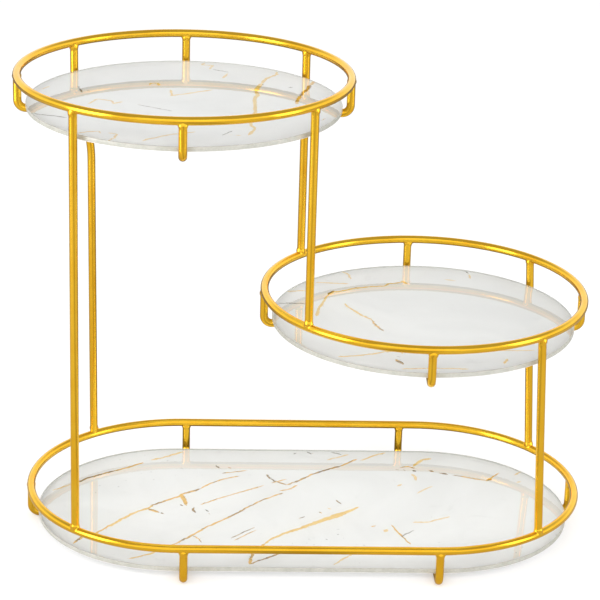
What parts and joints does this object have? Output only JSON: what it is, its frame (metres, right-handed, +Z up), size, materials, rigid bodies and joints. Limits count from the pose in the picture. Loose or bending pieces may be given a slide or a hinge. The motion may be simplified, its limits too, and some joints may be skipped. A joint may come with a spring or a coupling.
{
  "type": "tiered cake stand",
  "caption": "Tiered serving stand: a welded round-wire frame with raised rails that carries loose round and oblong glass trays at stepped heights.",
  "frame": {"origin": "on the table, under the middle of the stand", "axes": "+X along the length, from the high tray's side to the middle tray's side; +Y from front to rear; +Z up"},
  "size_m": [0.3544, 0.204, 0.293],
  "materials": {
    "gold_wire": "satin gold plating on round steel wire",
    "clear_glass": "clear, polished edge",
    "marble_print": "white marble print with gold veins"
  },
  "bodies": {
    "frame": {"bottom_front_left_foot": "gold_wire", "bottom_front_right_foot": "gold_wire", "bottom_left_foot": "gold_wire", "bottom_rail": "gold_wire", "bottom_rear_left_foot": "gold_wire", "bottom_rear_right_foot": "gold_wire", "bottom_right_foot": "gold_wire", "front_left_post": "gold_wire", "front_middle_post": "gold_wire", "front_right_post": "gold_wire", "middle_front_bracket": "gold_wire", "middle_left_bracket": "gold_wire", "middle_rail": "gold_wire", "middle_rear_bracket": "gold_wire", "middle_right_bracket": "gold_wire", "rear_left_post": "gold_wire", "rear_middle_post": "gold_wire", "rear_right_post": "gold_wire", "top_front_bracket": "gold_wire", "top_left_bracket": "gold_wire", "top_rail": "gold_wire", "top_rear_bracket": "gold_wire", "top_right_bracket": "gold_wire"},
    "top_tray": {"top_glass": "clear_glass", "top_marble_film": "marble_print"},
    "middle_tray": {"middle_glass": "clear_glass", "middle_marble_film": "marble_print"},
    "bottom_tray": {"bottom_glass": "clear_glass", "bottom_marble_film": "marble_print"}
  },
  "joints": [
    {"name": "top_tray_lift", "type": "slide", "parent": "frame", "child": "top_tray", "axis": [0, 0, 1], "range_m": [0, 0.06]},
    {"name": "middle_tray_lift", "type": "slide", "parent": "frame", "child": "middle_tray", "axis": [0, 0, 1], "range_m": [0, 0.06]},
    {"name": "bottom_tray_lift", "type": "slide", "parent": "frame", "child": "bottom_tray", "axis": [0, 0, 1], "range_m": [0, 0.06]}
  ]
}
